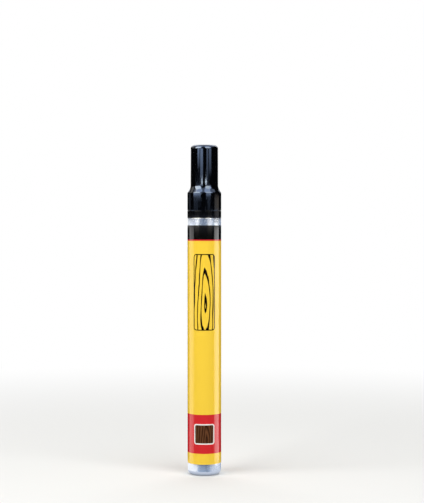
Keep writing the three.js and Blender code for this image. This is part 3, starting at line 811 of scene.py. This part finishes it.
# %% [markdown]
# ## Inner seal
# A soft cup inside the cap. Its mouth is eased so that it slides over the nose and closes on it.

# %% Inner seal
SEAL_RADIUS, SEAL_BOTTOM, SEAL_TOP = round_size("cap_inner_seal")
SEAL_BORE, SEAL_INNER_TOP, SEAL_LEAD, SEAL_CORNER = 4.2, 140.2, 0.3, 0.4
seal_outline = [
    (0, SEAL_INNER_TOP),
    (SEAL_BORE, SEAL_INNER_TOP, SEAL_CORNER),
    (SEAL_BORE, SEAL_BOTTOM + SEAL_LEAD, FINE_EDGE),
    (SEAL_BORE + SEAL_LEAD, SEAL_BOTTOM, FINE_EDGE),
    (SEAL_RADIUS, SEAL_BOTTOM, FINE_EDGE),
    (SEAL_RADIUS, SEAL_TOP, SMALL_EDGE),
    (0, SEAL_TOP),
]
seal_mesh = turned_mesh("seal_cup", seal_outline, INNER_SIDES)
make_piece("seal_cup", seal_mesh, milky_polyethylene, "cap_body", "cap_inner_seal")

# %% [markdown]
# ## Valve gasket
# A flat ring of black nitrile rubber, cut from sheet, with a faint matt grain of about 0.2 mm.

# %% Valve gasket
RUBBER_GRAIN = 0.2
rubber, tree, shader = start_material(
    "cut_nitrile_rubber", {"Base Color": linear("#1A1A1C"), "Roughness": 0.75})
place = add_node(tree, "ShaderNodeTexCoord")
grain = add_node(tree, "ShaderNodeTexNoise",
                 inputs={"Vector": place.outputs["Object"], "Scale": per_metre(RUBBER_GRAIN), "Detail": 3.0})
relief = add_node(tree, "ShaderNodeBump",
                  inputs={"Height": grain.outputs["Fac"], "Strength": 0.4, "Distance": 0.02 * MM})
tree.links.new(relief.outputs[0], shader.inputs["Normal"])

GASKET_RADIUS, GASKET_BOTTOM, GASKET_TOP = round_size("valve_gasket")
GASKET_HOLE = 1.7
gasket_middle = (GASKET_BOTTOM + GASKET_TOP) / 2
gasket_outline = [
    (GASKET_HOLE, gasket_middle),
    (GASKET_HOLE, GASKET_BOTTOM, FINE_EDGE),
    (GASKET_RADIUS, GASKET_BOTTOM, FINE_EDGE),
    (GASKET_RADIUS, GASKET_TOP, FINE_EDGE),
    (GASKET_HOLE, GASKET_TOP, FINE_EDGE),
    (GASKET_HOLE, gasket_middle),
]
gasket_mesh = turned_mesh("gasket_ring", gasket_outline, INNER_SIDES)
make_piece("gasket_ring", gasket_mesh, rubber, "barrel_body", "valve_gasket")

# %% [markdown]
# ## Valve plunger
# One acetal moulding: a head that the nib pushes, a poppet that closes under the gasket, and a tail that
# runs down through the spring.

# %% Valve plunger
POPPET_RADIUS, TAIL_BOTTOM, HEAD_TOP = round_size("valve_plunger")
TAIL_RADIUS, STEM_RADIUS, HEAD_RADIUS, HEAD_THICKNESS = 1.0, 1.2, 1.5, 0.8
POPPET_BOTTOM, POPPET_TOP = 102.65, 103.85
head_bottom = HEAD_TOP - HEAD_THICKNESS
plunger_outline = [
    (0, TAIL_BOTTOM),
    (TAIL_RADIUS, TAIL_BOTTOM, SOFT_EDGE),
    (TAIL_RADIUS, POPPET_BOTTOM, FINE_EDGE),
    (POPPET_RADIUS, POPPET_BOTTOM, SMALL_EDGE),
    (POPPET_RADIUS, POPPET_TOP, SOFT_EDGE),
    (STEM_RADIUS, POPPET_TOP, FINE_EDGE),
    (STEM_RADIUS, head_bottom, FINE_EDGE),
    (HEAD_RADIUS, head_bottom, FINE_EDGE),
    (HEAD_RADIUS, HEAD_TOP, SOFT_EDGE),
    (0, HEAD_TOP),
]
plunger_mesh = turned_mesh("plunger_moulding", plunger_outline, INNER_SIDES)
make_piece("plunger_moulding", plunger_mesh, milky_acetal, "plunger_body", "valve_plunger")

# %% [markdown]
# ## Valve cage
# A cup pushed up into the holder, with four ports that let stain in. The cup is turned as a blank, and a
# Boolean modifier cuts the ports with two crossed bars. The bars clear the cup's floor by a hair, so that
# no two faces lie in one plane. The cut mesh is kept, and the blank and the bars are taken away.

# %% Valve cage
CAGE_RADIUS, CAGE_BOTTOM, CAGE_TOP = round_size("valve_cage")
CAGE_WALL, CAGE_FLOOR, GUIDE_RADIUS = 0.8, 1.0, 1.15
PORT_WIDTH, PORT_TOP, PORT_CLEARANCE = 3.0, 98.35, 0.05
cage_bore = CAGE_RADIUS - CAGE_WALL
cage_floor_top = CAGE_BOTTOM + CAGE_FLOOR
cage_floor_middle = CAGE_BOTTOM + CAGE_FLOOR / 2
cage_outline = [
    (GUIDE_RADIUS, cage_floor_middle),
    (GUIDE_RADIUS, CAGE_BOTTOM, FINE_EDGE),
    (CAGE_RADIUS, CAGE_BOTTOM, SMALL_EDGE),
    (CAGE_RADIUS, CAGE_TOP, SMALL_EDGE),
    (cage_bore, CAGE_TOP, FINE_EDGE),
    (cage_bore, cage_floor_top),
    (GUIDE_RADIUS, cage_floor_top, FINE_EDGE),
    (GUIDE_RADIUS, cage_floor_middle),
]
port_bottom = cage_floor_top + PORT_CLEARANCE
bar_length = 3 * CAGE_RADIUS
bars_work = bmesh.new()
for size in ((bar_length, PORT_WIDTH), (PORT_WIDTH, bar_length)):
    bar = bmesh.ops.create_cube(bars_work, size=1)["verts"]
    bmesh.ops.scale(bars_work, verts=bar, vec=Vector((*size, PORT_TOP - port_bottom)) * MM)
    bmesh.ops.translate(bars_work, verts=bar, vec=Vector((0, 0, (PORT_TOP + port_bottom) / 2)) * MM)
bars = place_object("port_bars", mesh_from(bars_work, "port_bars"))
blank = place_object("cage_blank", turned_mesh("cage_blank", cage_outline, INNER_SIDES))
ports = blank.modifiers.new("ports", "BOOLEAN")
ports.operation = "DIFFERENCE"
ports.solver = "EXACT"
ports.use_self = True
ports.object = bars


def finished_mesh(thing):
    mesh = bpy.data.meshes.new_from_object(thing.evaluated_get(bpy.context.evaluated_depsgraph_get()))
    bpy.data.objects.remove(thing)
    return mesh


cage_mesh = finished_mesh(blank)
bpy.data.objects.remove(bars)
cage_mesh.name = "cage_cup"
cage_mesh.set_sharp_from_angle(angle=SHARP_ANGLE)
make_piece("cage_cup", cage_mesh, milky_polypropylene, "barrel_body", "valve_cage")

# %% [markdown]
# ## Spring and ball
# The spring is stainless wire, drawn and wound: a helix swept by a round section, which shortens with the
# nib. The ball is polished bearing steel, and is the brightest thing inside the barrel. Both are bare
# metal, so colour and gloss come from their reflections, with faint draw marks on the wire and fine
# polishing marks on the ball, drawn some tenths of a millimetre across so that they show.

# %% Bare steel
def bare_steel(name, colour, smoothest, roughest, mark):
    steel, tree, shader = start_material(name, {"Base Color": linear(colour), "Metallic": 1.0})
    place = add_node(tree, "ShaderNodeTexCoord")
    marks = add_node(tree, "ShaderNodeTexNoise",
                     inputs={"Vector": place.outputs["Object"], "Scale": per_metre(mark), "Detail": 4.0})
    rough = add_node(tree, "ShaderNodeMapRange",
                     inputs={"Value": marks.outputs["Fac"], "To Min": smoothest, "To Max": roughest})
    tree.links.new(rough.outputs[0], shader.inputs["Roughness"])
    return steel


spring_steel = bare_steel("drawn_stainless_wire", "#C9CBCD", smoothest=0.18, roughest=0.32, mark=0.15)
ball_steel = bare_steel("polished_bearing_steel", "#D2D4D6", smoothest=0.04, roughest=0.10, mark=0.3)
print("steels:", spring_steel.name, ball_steel.name)

# %% Spring
SPRING_BOTTOM, SPRING_LENGTH, SPRING_RADIUS, WIRE = 94.6, 8.0, 1.75, 0.5
TURNS, TURN_STEPS, WIRE_ROUNDNESS = 6, 36, 4
coil = bpy.data.curves.new("spring_coil", "CURVE")
coil.dimensions = "3D"
coil.bevel_depth = WIRE / 2 * MM
coil.bevel_resolution = WIRE_ROUNDNESS
coil.use_fill_caps = True
path = coil.splines.new("POLY")
path.points.add(TURNS * TURN_STEPS)
for index, point in enumerate(path.points):
    turn = 2 * math.pi * index / TURN_STEPS
    rise = (SPRING_LENGTH - WIRE) * index / (TURNS * TURN_STEPS)
    height = SPRING_BOTTOM + WIRE / 2 + rise
    spot = Vector((SPRING_RADIUS * math.cos(turn), SPRING_RADIUS * math.sin(turn), height)) * MM
    point.co = (*spot, 1)
spring_mesh = finished_mesh(place_object("spring_curve", coil))
spring = make_piece("spring_coil", spring_mesh, spring_steel, "barrel_body", "valve_spring")
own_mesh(spring)

# %% Ball
BALL_SUBDIVISIONS = 4
ball_low, ball_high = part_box("mixing_ball")
ball_work = bmesh.new()
bmesh.ops.create_icosphere(ball_work, subdivisions=BALL_SUBDIVISIONS, radius=ball_high.x)
bmesh.ops.translate(ball_work, verts=ball_work.verts, vec=(ball_low + ball_high) / 2)
for face in ball_work.faces:
    face.smooth = True
ball_mesh = mesh_from(ball_work, "steel_ball")
make_piece("steel_ball", ball_mesh, ball_steel, "ball_body", "mixing_ball")
